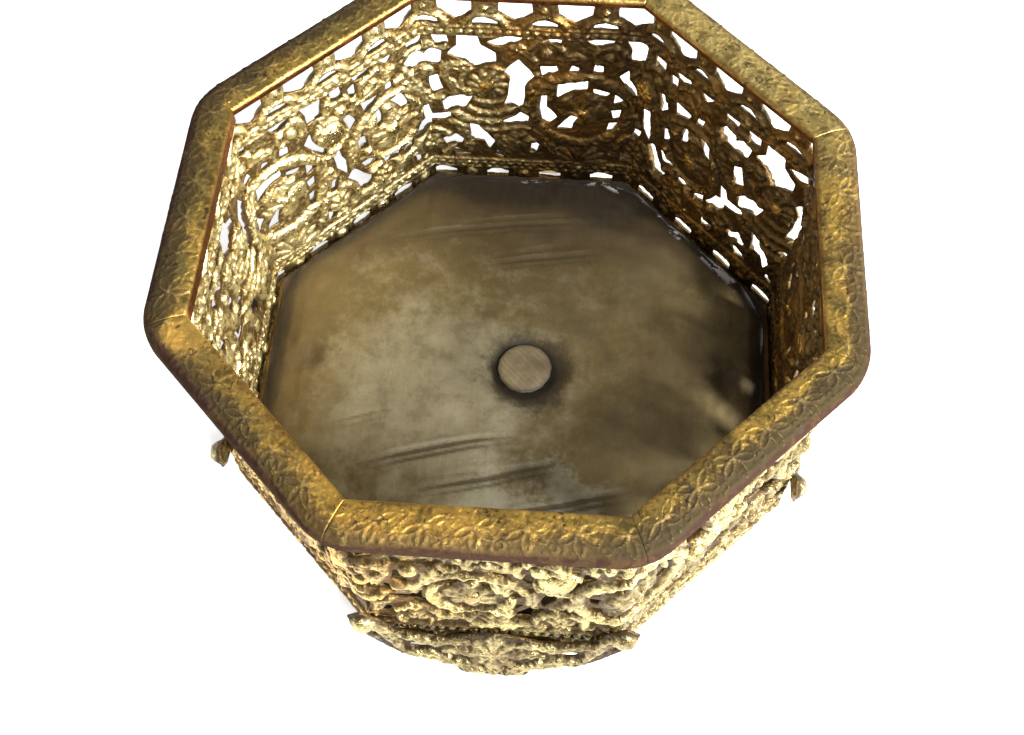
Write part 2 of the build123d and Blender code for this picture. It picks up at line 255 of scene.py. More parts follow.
# Each opening's outline: x and y in turn, in tenths of a millimetre.
OPENING_OUTLINES = [
    # round and inside the ring medallion
    (-76, 208, -46, 204, -42, 216, -72, 234), (-14, 218, -10, 204, 2, 208, 1, 219),
    (33, 196, 48, 201, 48, 216, 31, 216), (-40, 254, 19, 242, 20, 264, -9, 270, -39, 294),
    (34, 267, 62, 276, 56, 284, 36, 280),
    (-72, 292, -63, 294, -63, 326, -40, 354, -54, 372, -68, 366, -74, 330),
    (-9, 348, 4, 352, -7, 374, -10, 390, -36, 390, -24, 374), (76, 282, 96, 300, 76, 306),
    (74, 328, 90, 326, 86, 346, 76, 349), (69, 368, 84, 368, 76, 394, 67, 394),
    (83, 226, 98, 209, 102, 232, 128, 272, 122, 282, 104, 256),
    (92, 127, 133, 129, 132, 174, 104, 176, 102, 150), (17, 127, 66, 127, 63, 136, 42, 144, 24, 135),
    (-62, 128, -36, 128, -38, 142, -58, 140),
    # between the ring and the bowl
    (144, 304, 158, 299, 158, 322, 170, 352, 164, 380, 146, 350), (120, 400, 128, 372, 142, 372, 130, 402),
    (160, 129, 184, 130, 184, 158, 163, 156), (202, 152, 216, 150, 214, 176, 204, 176),
    (216, 130, 250, 128, 248, 142, 222, 142), (180, 218, 194, 220, 202, 248, 188, 264, 185, 242),
    (225, 210, 262, 216, 258, 229, 230, 243), (202, 306, 220, 304, 220, 336, 205, 337),
    (164, 396, 180, 380, 200, 414, 220, 436, 212, 458, 192, 454, 184, 426),
    (202, 380, 242, 384, 236, 398, 214, 402),
    # round the bowl
    (254, 262, 265, 260, 265, 298, 255, 302), (285, 202, 299, 198, 298, 220, 283, 222),
    (294, 252, 314, 248, 333, 292, 319, 296), (278, 130, 310, 129, 296, 146),
    (345, 131, 378, 131, 373, 150, 350, 146),
    (338, 182, 354, 164, 372, 174, 382, 186, 402, 166, 418, 176, 414, 206, 386, 208, 346, 200),
    (256, 402, 296, 406, 292, 426, 260, 424), (308, 422, 328, 406, 332, 426, 312, 434),
    (340, 414, 360, 376, 384, 372, 383, 396, 362, 414),
    # round the urn
    (390, 254, 406, 242, 416, 284, 396, 298), (372, 334, 383, 332, 388, 364, 428, 358, 429, 374, 374, 382),
    (414, 318, 438, 304, 476, 301, 458, 338, 418, 349), (404, 131, 430, 129, 432, 152, 408, 156),
    (452, 129, 490, 128, 496, 156, 524, 174, 524, 198, 484, 216, 466, 198, 434, 180, 452, 160),
    (512, 144, 546, 128, 578, 127, 566, 144, 532, 152),
    (544, 226, 574, 190, 582, 206, 602, 234, 584, 268, 578, 328, 542, 326, 550, 288, 558, 246),
    (538, 374, 562, 360, 576, 344, 588, 352, 586, 382, 544, 386),
    (468, 390, 482, 392, 518, 442, 508, 468, 498, 442, 470, 436),
    (406, 444, 432, 428, 454, 440, 448, 456, 414, 458), (426, 470, 464, 488, 434, 496),
    (524, 478, 539, 480, 536, 496, 522, 490), (336, 466, 364, 476, 342, 492),
    (102, 462, 126, 476, 100, 488), (600, 440, 614, 446, 608, 472, 596, 468),
]
OPENINGS = [[(a / 10, b / 10) for a, b in zip(row[::2], row[1::2])] for row in OPENING_OUTLINES]

# Each scroll: centre, radius, half width, height, first and last bearing in degrees (0 along x, 90 down).
SCROLLS = [
    (1, 33.2, 9.9, 1.35, 1, 0, 360), (14.3, 24.2, 4.3, 0.6, 1, 0, 360),
    (28.6, 33.2, 6.9, 0.95, 1.3, 0, 360), (28.6, 33.2, 9.6, 0.95, 0.9, 170, 380),
    (50.8, 27.6, 7.4, 0.85, 1.1, 10, 170), (50.8, 27.6, 10.2, 0.95, 1.1, 5, 175),
    (50.8, 27.6, 12.9, 0.8, 0.9, 40, 140), (50.8, 26.2, 5.4, 0.6, 0.9, 0, 360),
    (38.2, 22.4, 3.9, 0.8, 1, 150, 400), (17.4, 19.6, 3.6, 0.8, 0.9, 170, 420),
    (60.6, 27, 4.2, 0.8, 0.9, 200, 420), (13.4, 44.6, 4.4, 0.9, 1, 150, 420),
    (24.8, 45.4, 4.4, 0.9, 1, 100, 400), (38.6, 45, 4.2, 0.9, 1, 120, 430),
    (57.2, 43.2, 4.6, 0.9, 1, 130, 430), (-6.4, 16.6, 3.2, 0.75, 0.9, 120, 400),
    (6.2, 17, 2.9, 0.75, 0.9, 140, 420), (25.6, 17.6, 3, 0.75, 0.9, 150, 410),
    (46, 24, 3.6, 0.7, 0.9, 90, 300), (31.4, 18.6, 2.4, 0.7, 0.9, 0, 270),
]

# Each flower: centre, radius, petals, height.
FLOWERS = [
    (1.2, 32.8, 5.8, 5, 1.1), (1.2, 32.8, 3.3, 5, 1.5), (28.6, 33.2, 5.6, 8, 0.9),
    (50.8, 26.2, 4.4, 10, 1.3), (1, 49.4, 6.2, 13, 1), (38.6, 45, 2.6, 6, 1.1),
    (13.4, 44.6, 2.8, 6, 1.1), (24.8, 45.4, 2.8, 6, 1), (57.2, 43.2, 3, 6, 1.1),
    (60.6, 27, 2.6, 5, 1),
]

# Each boss: centre, radius, height.
BOSSES = [
    (14.3, 24.2, 3.3, 1.9), (1.2, 32.8, 1.3, 2), (28.6, 33.2, 2.1, 1.8), (50.8, 26.2, 2, 1.9),
    (38.4, 22.8, 1.6, 1.3), (17.4, 19.4, 1.5, 1.3), (6.2, 17, 1.2, 1.2), (-6.4, 16.6, 1.3, 1.3),
    (25.6, 17.6, 1.2, 1.2), (46.8, 28.6, 1.2, 1.2), (34.8, 33.8, 1.3, 1.2), (22.2, 36.2, 1.2, 1.2),
    (12.4, 33.8, 1.1, 1.2), (-9.4, 43.2, 1.4, 1.3), (45.6, 36.6, 1.3, 1.2),
]

# Each leaf: from and to, half width, height.
LEAVES = [
    (12, 33, 13.6, 42, 1.7, 1), (18.6, 29, 17.8, 37.6, 1.6, 1), (7.4, 46, 15.6, 49.6, 1.5, 1),
    (16.8, 46.2, 30.2, 49, 1.5, 1), (29.4, 44.6, 35.2, 44.8, 1.5, 1),
    (44.2, 38.6, 47, 47.8, 1.6, 1), (52.8, 41, 55.2, 49.6, 1.6, 1), (41.8, 20.6, 46.6, 22, 1.4, 1),
    (-9.8, 38.6, -3.6, 47.6, 1.6, 1), (11.6, 28.6, 15, 29.4, 1.3, 1),
    (21.4, 25.6, 24.4, 31, 1.5, 1), (32.8, 22.4, 37.4, 28.6, 1.5, 1),
    (36.4, 29.6, 41, 30.6, 1.4, 1), (33.6, 15.4, 43.8, 16, 1.2, 0.9),
    (53.2, 13.2, 60.6, 17.8, 1.3, 0.9), (-4, 17.6, 1.6, 17.4, 1.3, 0.9),
    (12.4, 19.4, 15.4, 14, 1.3, 0.9), (21.4, 19.6, 28, 18.4, 1.3, 0.9),
    (57.6, 30.4, 61, 40.2, 1.5, 1), (43, 24.6, 44.8, 30, 1.4, 1),
]


def wrapped(x, at):
    """Distance along the wall to the nearest repeat of a point of the pattern."""
    return (x - at + REPEAT / 2) % REPEAT - REPEAT / 2


def metal_distance(x, y):
    """Distance into the metal from the nearest opening, negative inside an opening."""
    x = x + 0.22 * waves(x, y, 9.0, 2)
    y = y + 0.22 * waves(x, y, 8.0, 5)
    solid = np.full(x.shape, 9.0)
    for corners in OPENINGS:
        cx = sum(c[0] for c in corners) / len(corners)
        cy = sum(c[1] for c in corners) / len(corners)
        reach = max(np.hypot(c[0] - cx, c[1] - cy) for c in corners) + 3.0
        dx = wrapped(x, cx)
        near = (np.abs(dx) < reach) & (np.abs(y - cy) < reach)
        drawn = [(c[0] - cx, c[1] - cy) for c in corners]
        hole = -polygon_distance(dx[near], y[near] - cy, drawn) - 0.12
        solid[near] = np.minimum(solid[near], hole)
    # arcade openings, flat on top and pointed below
    dx = (x - ARCADE + PITCH / 2) % PITCH - PITCH / 2
    side = np.abs(dx) - 3.3
    foot = (y - 8.2 + 0.55 * np.abs(dx)) * 0.88
    solid = np.minimum(solid, np.maximum(np.maximum(side, foot), 3.7 - y))
    # lens holes under the arches
    dx = (x - ARCADE) % PITCH - PITCH / 2
    lens = np.maximum(np.hypot(dx * 0.8, y - 9.75) - 1.9, y - 9.7)
    solid = np.minimum(solid, lens)
    # lower arcade
    dx = (x - ARCADE - 1.5) % PITCH - PITCH / 2
    low = np.maximum(np.maximum(np.abs(dx) - 2.3, np.abs(y - 54.9) - 1.15), np.abs(dx) * 0.5 - y + 53.4)
    return np.minimum(solid, low)


def wall_relief(x, y):
    """Height of the chased pattern above the plain metal."""
    x = x + 0.15 * waves(x, y, 9.0, 2)
    y = y + 0.15 * waves(x, y, 8.0, 5)
    high = np.zeros(x.shape)
    for cx, cy, radius, width, rise, start, end in SCROLLS:
        dx, dy = wrapped(x, cx), y - cy
        bearing = np.degrees(np.arctan2(dy, dx)) % 360
        sweep = (bearing - start) % 360
        span = end - start
        off = np.hypot(dx, dy) - radius * (1 - 0.1 * (sweep / 360 if span > 360 else 0))
        ends = unit((span - sweep) / 12) if span < 360 else 1.0
        rope = 1 + 0.14 * np.sin(sweep * pi / 180 * radius * 2.6 + off * 2)
        high = np.maximum(high, rise * rope * dome(off / width) * ends)
    for cx, cy, radius, petals, rise in FLOWERS:
        dx, dy = wrapped(x, cx), y - cy
        r, bearing = np.hypot(dx, dy), np.arctan2(dy, dx)
        petal = np.abs(np.cos(petals * bearing / 2 + 0.35 * np.sin(r)))
        edge = radius * (0.72 + 0.28 * petal)
        body = dome(r / edge) * (0.35 + 0.65 * petal**0.6)
        high = np.maximum(high, rise * body * np.clip(r / (0.3 * radius), 0.3, 1))
    for cx, cy, radius, rise in BOSSES:
        high = np.maximum(high, rise * dome(np.hypot(wrapped(x, cx), y - cy) / radius))
    for ax, ay, bx, by, width, rise in LEAVES:
        dx, dy = wrapped(x, (ax + bx) / 2), y - (ay + by) / 2
        along, across, length = along_line(dx, dy, ax, ay, bx, by)
        along = along + 0.5
        across = across + 0.5 * np.sin(along * pi) - 0.3
        shape = width * np.sin(pi * unit(along)) ** 0.6 + 1e-6
        barbs = 0.12 * np.cos(9 * along * length / 3 - abs(across) * 4)
        vein = 1 - 0.4 * bell(across / 0.25) + barbs
        inside = (along > 0) & (along < 1)
        high = np.maximum(high, np.where(inside, rise * dome(across / shape) * vein, 0))
    # arcade: pillars with studs over a scalloped ribbon
    dx = (x - ARCADE) % PITCH - PITCH / 2
    pillar = 0.9 * dome(dx / 2.5) * (y < 8.4) * (1 - 0.35 * bell(dx / 0.35))
    stud = 1.5 * dome(np.hypot(dx, (y - 4.9) * 0.8) / 0.95)
    arch = 1.1 * dome((np.hypot(dx * 0.82, y - 9.9) - 3.1) / 0.75) * (y < 9.9)
    high = np.maximum(np.maximum(high, pillar), np.maximum(stud, arch))
    # beaded bands between fillets
    bead = (x % BEAD) - BEAD / 2
    for centre in (11.3, 51.6):
        high = np.where(np.abs(y - centre) < 1.25, 0.15, high)
        high = np.maximum(high, 0.95 * dome(np.hypot(bead, y - centre) / 0.86))
        for line in (-1.15, 1.15):
            high = np.maximum(high, 0.7 * dome((y - centre - line) / 0.32))
    # lower border and its studs
    dx = (x - ARCADE - 1.5) % PITCH
    dx = np.minimum(dx, PITCH - dx)
    high = np.maximum(high, 1.2 * dome(np.hypot(dx, y - 54.8) / 1.3))
    high = np.maximum(high, 0.8 * dome((y - 57.0) / 0.55))
    return high


def wall_face(x, y, depth):
    """Front height of a wall: rounded to nothing at each opening's edge."""
    chased = 0.1 * np.cos(2 * pi * np.clip(depth, 0, 2.4) / 1.2) * (depth < 2.4)
    rough = 0.07 * waves(x, y, 2.3, 4) + 0.05 * waves(x, y, 1.1, 7)
    return rolled(depth, 1.0) * (0.42 + 0.95 * wall_relief(x, y) + chased + rough)


def wall_back(x, y, depth):
    return 0.72 * wall_face(x, y, depth)


def fold_line(s, radius):
    """A point and outward normal on the walls' middle line, s from the middle of the back side."""
    flat = WALL_MIDDLE * HALF - radius * HALF
    scale = (flat + radius * pi / 8) / (SIDE_LENGTH / 2)
    run = np.abs(s) * scale
    turn = np.clip((run - flat) / radius, 0, pi / 8)
    x = np.minimum(run, flat) + radius * np.sin(turn)
    y = WALL_MIDDLE - radius + radius * np.cos(turn)
    return np.sign(s) * x, y, np.sign(s) * np.sin(turn), np.cos(turn)


def wall_place(s, depth, offset):
    """Places the pattern so that it runs clockwise from above."""
    x, y, nx, ny = fold_line(s, 2.2)
    return np.stack([x + nx * offset, y + ny * offset, RIM_TOP - depth], 1)


def make_wall(index, name):
    """One side's pierced wall, both faces in relief."""
    step = 0.25
    s = np.linspace(-SIDE_LENGTH / 2, SIDE_LENGTH / 2, round(SIDE_LENGTH / step) + 1)
    y = np.linspace(TOP_DEPTH, LOW_DEPTH, round((LOW_DEPTH - TOP_DEPTH) / step) + 1)
    offset = index * SIDE_LENGTH + SIDE_LENGTH / 2 - RING_START

    def field(a, b):
        return metal_distance(a + offset, b)

    def front(a, b, depth):
        return wall_face(a + offset, b, depth)

    def back(a, b, depth):
        return wall_back(a + offset, b, depth)

    def shades(a, b, depth, height):
        return unit(height / 1.7)

    points, faces, flat, tone, within = pierced_plate(s, y, field, front, back, wall_place, shades)
    points = turned(points, name)
    # Painted shade: the inner faces of the back, right and front-right walls and the outer faces of the left
    # and front-left walls face away from the light, so their colour is darkened.
    bearing = np.arctan2(points[:, 1], points[:, 0])
    side = unit((np.cos(bearing - radians(30)) + 0.25) / 0.9)
    shade = unit((np.cos(bearing - radians(203)) - 0.4) / 0.45)
    painted_shade = within * side * side * (3 - 2 * side) + 0.85 * (1 - within) * shade * shade * (3 - 2 * shade)
    layers = {"relief": tone, "within": within, "painted_shade": painted_shade}
    wall = new_mesh("filigree_wall_" + name, points, faces, flat, layers)
    wall.data.materials.append(FILIGREE)
    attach(wall, "root")
    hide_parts("filigree_panel_" + name)


# ---------------- rim
RIM_IN = 50.0
RIM_WIDE = 7.5
RIM_ROUND = 12.0
RIM_SHOULDER = 60.9
RIM_SKIN = 0.62
STAR_PITCH = 7.3


def rim_section(lip):
    """Outer skin of the rim's section: distance out from the opening, and height."""
    inner = [(0.0, RIM_TOP - lip), (0.0, RIM_SHOULDER)]
    inner += [(0.8 - 0.8 * cos(a), RIM_SHOULDER + 0.8 * sin(a)) for a in np.linspace(0.2, 1.35, 6)]
    crown = [(p, 61.68 + 0.32 * (1 - ((p - 3.4) / 2.6) ** 2)) for p in np.linspace(1.2, 5.6, 9)]
    outer = [(5.8 + 1.7 * sin(a), 59.9 + 1.7 * cos(a)) for a in np.linspace(0.15, pi / 2, 9)]
    return np.array(inner + crown + outer + [(7.5, 59.0)])


def rim_relief(u, v):
    """Stamped stars and rings along the rim: u along the length, v out from the opening."""
    high = 0.05 * waves(u, v, 7.0, 3) + 0.045 * waves(u, v, 2.6, 9) + 0.035 * waves(u, v, 1.3, 6)
    for centre in (0.9, 6.5):
        high = high + 0.07 * np.cos(2 * pi * u / 1.25) * bell((v - centre) / 0.32)
    star = (u % STAR_PITCH) - STAR_PITCH / 2
    rise = v - 3.6
    r = np.hypot(star, rise)
    for k in range(6):
        a = k * pi / 3 + 0.5
        along = star * cos(a) + rise * sin(a)
        across = np.abs(-star * sin(a) + rise * cos(a))
        wide = 0.62 * np.sin(pi * unit((along - 0.3) / 3.1)) + 1e-6
        line = bell((across - wide) / 0.24) * (along > 0.2) * (along < 3.4)
        petal = np.where((along > 0.3) & (along < 3.4), dome(across / wide), 0)
        high = np.maximum(high, 0.17 * line - 0.08 * petal)
    high = np.maximum(high, 0.2 * dome(r / 0.4))
    between = u % STAR_PITCH
    between = np.minimum(between, STAR_PITCH - between)
    for centre, radius in ((5.9, 0.55), (1.7, 0.45)):
        q = np.hypot(between, v - centre)
        high = np.maximum(high, 0.15 * bell((q - radius) / 0.15))
    cross = np.abs(np.abs(between) - np.abs(v - 3.8) * 0.7)
    high = np.maximum(high, 0.13 * bell(cross / 0.15) * (np.abs(v - 3.8) < 1.3))
    return high


def make_rim(name, seed):
    stations = np.linspace(-1, 1, 175)
    base = rim_section(3.4 if name == "left" else 1.9)
    run = np.concatenate([[0], np.cumsum(np.hypot(*np.diff(base, axis=0).T))])
    t = np.linspace(0, run[-1], 62)
    p, z = np.interp(t, run, base[:, 0]), np.interp(t, run, base[:, 1])
    dp, dz = np.gradient(p), np.gradient(z)
    size = np.hypot(dp, dz)
    out_n, up_n = -dz / size, dp / size
    start = RIM_SHOULDER - base[0, 1]
    out_n = np.where(t < start, -np.abs(out_n), out_n)
    flat = (RIM_IN + RIM_WIDE) * HALF - RIM_ROUND * HALF
    total = flat + RIM_ROUND * pi / 8
    s = np.abs(stations) * total
    turn = np.clip((s - flat) / RIM_ROUND, 0, pi / 8)
    ox = np.sign(stations) * (np.minimum(s, flat) + RIM_ROUND * np.sin(turn))
    oy = RIM_IN + RIM_WIDE - RIM_ROUND + RIM_ROUND * np.cos(turn)
    ix, iy = stations * RIM_IN * HALF, np.full(stations.shape, RIM_IN)
    ex, ey = ox - ix, oy - iy
    reach = np.hypot(ex, ey)
    ex, ey = ex / reach, ey / reach
    along = stations * 22.0 + seed * 1.9
    lift = rim_relief(along[:, None], np.broadcast_to(p, (len(s), len(p))) + 0 * along[:, None])
    lift = 0.04 + (lift - 0.04) * unit((1 - np.abs(stations)) / 0.02)[:, None]
    lift = lift * unit((t - start) / 1.2) * unit((run[-1] - 0.8 - t) / 1.2)

    def skin(offset):
        far = p[None, :] / RIM_WIDE * reach[:, None] + out_n[None, :] * offset
        x = ix[:, None] + ex[:, None] * far
        y = iy[:, None] + ey[:, None] * far
        height = z[None, :] + up_n[None, :] * offset + 0 * x
        return np.stack([x, y, height], 2).reshape(-1, 3)

    outside, inside = skin(lift - 0.06), skin(np.full(lift.shape, -RIM_SKIN))
    nv = len(t)
    quads = grid_triangles(nv, len(stations))
    n = len(outside)
    row, col = np.arange(nv - 1), np.arange(len(stations) - 1) * nv
    last = len(stations) * nv - nv
    walls = [strip(row, row + 1, n), strip(row + last, row + last + 1, n)[:, ::-1]]
    walls += [strip(col + nv, col, n), strip(col + 2 * nv - 1, col + nv - 1, n)[:, ::-1]]
    faces = np.concatenate([quads[:, ::-1], quads + n, *walls])
    is_flat = np.zeros(len(faces), bool)
    is_flat[2 * len(quads) :] = True
    tone = np.concatenate([unit(lift.ravel() / 0.2), np.zeros(n)])
    edge = np.broadcast_to(unit((t - start) / (run[-1] - start)), lift.shape).ravel()
    edge = np.concatenate([edge, edge])
    points = turned(np.concatenate([outside, inside]), name)
    rim = new_mesh("rim_strip_" + name, points, faces, is_flat, {"relief": tone, "outward": edge})
    rim.data.materials.append(RIM)
    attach(rim, "root")
    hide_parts("rim_length_" + name)


# ---------------- feet
FOOT_TOP = 16.5
FOOT_NEAR = 53.15
FOOT_FLARE = 4.25


def foot_distance(x, y):
    """Distance into the bracket's outline from its edge."""
    a = np.abs(x)
    arm = polygon_distance(
        a,
        y,
        [(-6, 12.0), (-6, -3), (4.0, -3), (4.9, 0.1), (6.9, 1.8), (12.0, 3.3), (17.2, 4.5), (19.5, 5.9),
         (22.7, 8.8), (25.0, 12.0), (25.7, 16.0), (23.4, 18.0), (20.2, 14.8), (18.0, 11.0), (9.0, 9.8),
         (4.5, 11.0), (0.0, 12.0)],
    )
    scallop = 0.35 * np.cos(2.1 * a) * bell((y - 1.0) / 3.0)
    slot = np.hypot((a - 13.4) * 0.36, y - 6.9) - 0.62
    tip = np.hypot((a - 21.6) * 0.7 + (y - 10.4) * 0.4, (y - 10.4) * 0.6 - (a - 21.6) * 0.5) - 0.55
    return np.minimum(np.minimum(arm + scallop + 0.2, slot), np.minimum(tip, y + 0.05 + 0 * x))


def foot_relief(x, y):
    a = np.abs(x)
    high = np.zeros(a.shape)
    leaves = (
        (23.6, 15.8, 16.0, 5.6, 1.5),
        (16.8, 5.2, 7.0, 3.0, 1.5),
        (20.4, 11.4, 9.6, 7.8, 1.3),
        (12.0, 8.4, 4.0, 9.6, 1.4),
        (9.4, 6.6, 3.4, 5.6, 1.2),
        (7.4, 3.0, 1.6, 1.0, 1.2),
    )
    for cx, cy, bx, by, wide in leaves:
        along, across, length = along_line(a - cx, y - cy, cx, cy, bx, by)
        across = across + 0.9 * np.sin(along * pi) - 0.4
        shape = wide * np.sin(pi * unit(along)) ** 0.5 + 1e-6
        vein = 1 - 0.35 * bell(across / 0.22) + 0.15 * np.cos(along * length * 2.4)
        high = np.maximum(high, np.where((along > 0) & (along < 1), dome(across / shape) * vein, 0))
    r, bearing = np.hypot(a, y - 6.2), np.arctan2(y - 6.2, a)
    shell = np.abs(np.cos(9 * bearing / 2))
    high = np.maximum(high, 1.2 * dome(r / (5.4 * (0.75 + 0.25 * shell))) * (0.4 + 0.6 * shell))
    high = np.maximum(high, 1.6 * dome(r / 1.6))
    high = np.maximum(high, 2.6 * dome(np.hypot(a - 23.2, y - 14.6) / 2.4))
    beads = ((4.6, 1.6, 1.1), (2.4, 1.2, 1.0), (0.0, 1.0, 1.0), (6.6, 3.2, 0.9), (8.2, 4.6, 0.8))
    for cx, cy, radius in beads:
        high = np.maximum(high, 1.2 * dome(np.hypot(a - cx, y - cy) / radius))
    return high


def make_foot(name):
    x = np.linspace(-25.8, 25.8, 207)
    y = np.linspace(-0.2, 18.4, 75)

    def front(a, b, depth):
        return rolled(depth, 1.1) * (0.5 + 0.7 * foot_relief(a, b) + 0.1 * waves(a, b, 1.6, 6))

    def back(a, b, depth):
        return rolled(depth, 1.1) * (0.5 + 0.05 * waves(a, b, 2.0, 3))

    def place(a, b, offset):
        low = np.clip((FOOT_TOP - b) / FOOT_TOP, 0, 1.1)
        lean = np.arctan(2 * FOOT_FLARE * low / FOOT_TOP)
        out = FOOT_NEAR + 0.6 + FOOT_FLARE * low**2 + offset * np.cos(lean)
        return np.stack([a, out, np.maximum(b + offset * np.sin(lean), 0.0)], 1)

    def shades(a, b, depth, height):
        return unit(height / 1.5)

    points, faces, flat, tone, within = pierced_plate(x, y, foot_distance, front, back, place, shades)
    layers = {"relief": tone, "within": within}
    foot = new_mesh("scroll_foot_" + name, turned(points, name), faces[:, ::-1], flat, layers)
    foot.data.materials.append(FOOT)
    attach(foot, "root")
    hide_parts("bracket_foot_" + name)


# ---------------- cushion and button
CUSHION_EDGE = 8.4
CUSHION_TOP = 12.4
CUSHION_LOW = 5.8
BUTTON_AT = 2.0
PUFF_LIMIT = 1.2
PUFF_FRAMES = 20
PAD_SEAM = 7.4
SATIN_SEAM = 7.2


def octagon_distance(x, y, inside):
    """Distance in from the sides of an octagon, whose sides pull in a little between its corners."""
    best = np.full(np.shape(x), 1e9)
    for k in range(SIDES):
        a = radians(45 * k)
        along = -x * sin(a) + y * cos(a)
        pull = 0.45 * np.cos(pi * np.clip(along / 42, -0.5, 0.5)) ** 2
        best = np.minimum(best, inside - pull - (x * cos(a) + y * sin(a)))
    corner = inside + 2.3 + 0.35 * np.sin(5 * np.arctan2(y, x) + 1.0) - np.hypot(x, y)
    return np.minimum(best, corner)


# Fine drawn creases: start, end, depth. They lie nearly along x, and rise a little to the right.
CREASES = [
    (-28, 29.5, 14, 36, 0.30), (-14, 33, 10, 38, 0.22), (-8, 22.5, 16, 28.5, 0.30),
    (-6, 26, 10, 29.5, 0.18), (-36, -14, -22, -11.5, 0.20), (-29, -22.5, 2, -15.5, 0.34),
    (-24, -20.5, -4, -16.5, 0.20), (-18, -27.5, 12, -20.5, 0.36), (-14, -25.5, 6, -21, 0.22),
    (-7, -33, 24, -25, 0.42), (-2, -30.5, 20, -26, 0.26), (4, -36, 30, -29.5, 0.36),
]


def creases(x, y):
    """Depth of the drawn creases at a point, with small stitches of slack along each."""
    total = np.zeros(x.shape)
    for ax, ay, bx, by, deep in CREASES:
        along, across, length = along_line(x - ax, y - ay, ax, ay, bx, by)
        across = across + 0.5 * np.sin(along * 3.2 + ax)
        fade = np.sin(pi * unit(along)) ** 0.5
        beat = 0.9 + 0.1 * np.sin(along * length * 2.1 + ax)
        total -= deep * fade * beat * bell(across / 0.45)
        total -= 0.6 * deep * fade * bell((across + 1.5) / 0.4)
        total += 0.6 * deep * fade * bell((across - 1.0) / 0.6)
    return total


def cushion_height(x, y):
    """Height of the satin: crowned, drawn down round the button, with soft folds and two dents."""
    r = np.hypot(x - BUTTON_AT, y)
    bearing = np.arctan2(y, x - BUTTON_AT)
    crown = CUSHION_EDGE + 0.6 + (CUSHION_TOP - CUSHION_EDGE - 0.6) * unit(1 - (r / 56) ** 2)
    pull = -2.1 * bell(np.clip(r - 4.5, 0, 99) / 3.4)
    gathers = 0.10 * np.sin(13 * bearing + 1.2) * bell((r - 8.5) / 3.5)
    dents = -1.3 * np.exp(-(((x + 41.0) ** 2 + (y - 0.5) ** 2) / 7.0))
    dents -= 1.3 * np.exp(-(((x - 41.0) ** 2 + (y - 0.5) ** 2) / 9.0))
    folds = 0.16 * waves(x, y, 26.0, 4) + 0.05 * waves(x, y, 9.0, 8)
    edge_folds = 0.13 * np.sin(bearing * 34 + 2 * np.sin(bearing * 5)) * unit((r - 38) / 10)
    return crown + pull + gathers + dents + folds + edge_folds * (0.4 + 0.6 * (x > 0))


PUFF_CLOTH = {
    "quality": 5,
    "mass": 0.15,
    "tension_stiffness": 8,
    "compression_stiffness": 8,
    "bending_stiffness": 0.2,
    "use_pressure": True,
    "uniform_pressure_force": 4,
    "shrink_min": -0.012,
    "vertex_group_mass": "held",
}


def simulated_puff():
    """Cloth simulation of the stuffed cover on a coarse grid: how far its top moves, sampled on that grid."""
    step = 2.2
    line = np.arange(-52.8, 52.9, step)

    def field(a, b):
        return octagon_distance(a, b, 49.8)

    def front(a, b, depth):
        return rolled(depth, 3.0) * (cushion_height(a, b) - PAD_SEAM)

    def back(a, b, depth):
        return unit(depth / 1.2) * 1.4

    def place(a, b, offset):
        return np.stack([a, b, PAD_SEAM + offset], 1)

    def shades(a, b, depth, height):
        return height

    points, faces = pierced_plate(line, line, field, front, back, place, shades)[:2]
    pad = new_mesh("pad_sim", points, faces)
    held = pad.vertex_groups.new(name="held")
    r = np.hypot(points[:, 0] - BUTTON_AT, points[:, 1])
    fixed = np.where((r < 6.5) | (points[:, 2] < 7.5))[0]
    held.add([int(i) for i in fixed], 1.0, "REPLACE")
    cloth = pad.modifiers.new("cloth", "CLOTH")
    for key, value in PUFF_CLOTH.items():
        setattr(cloth.settings, key, value)
    cloth.settings.effector_weights.gravity = 0
    cloth.collision_settings.use_collision = False
    scene = bpy.context.scene
    for number in range(1, PUFF_FRAMES + 1):
        scene.frame_set(number)
    graph = bpy.context.evaluated_depsgraph_get()
    mesh = pad.evaluated_get(graph).to_mesh()
    moved = np.zeros(3 * len(mesh.vertices), np.float32)
    mesh.vertices.foreach_get("co", moved)
    moved = moved.reshape(-1, 3) / MM
    shift = np.clip(moved - points, -PUFF_LIMIT, PUFF_LIMIT)
    scene.frame_set(1)
    bpy.data.objects.remove(pad)
    field_map = np.zeros((len(line), len(line)))
    column = np.round((points[:, 0] - line[0]) / step).astype(int)
    row = np.round((points[:, 1] - line[0]) / step).astype(int)
    upper = points[:, 2] > 7.6
    field_map[row[upper], column[upper]] = shift[upper, 2]
    return line, field_map


def sampled(line, values, x, y):
    """Bilinear reading of a square map."""
    step = line[1] - line[0]
    fx = np.clip((x - line[0]) / step, 0, len(line) - 1.001)
    fy = np.clip((y - line[0]) / step, 0, len(line) - 1.001)
    i, j = fx.astype(int), fy.astype(int)
    u, v = fx - i, fy - j
    u, v = u * u * (3 - 2 * u), v * v * (3 - 2 * v)
    top = values[j, i] * (1 - u) + values[j, i + 1] * u
    low = values[j + 1, i] * (1 - u) + values[j + 1, i + 1] * u
    return top * (1 - v) + low * v


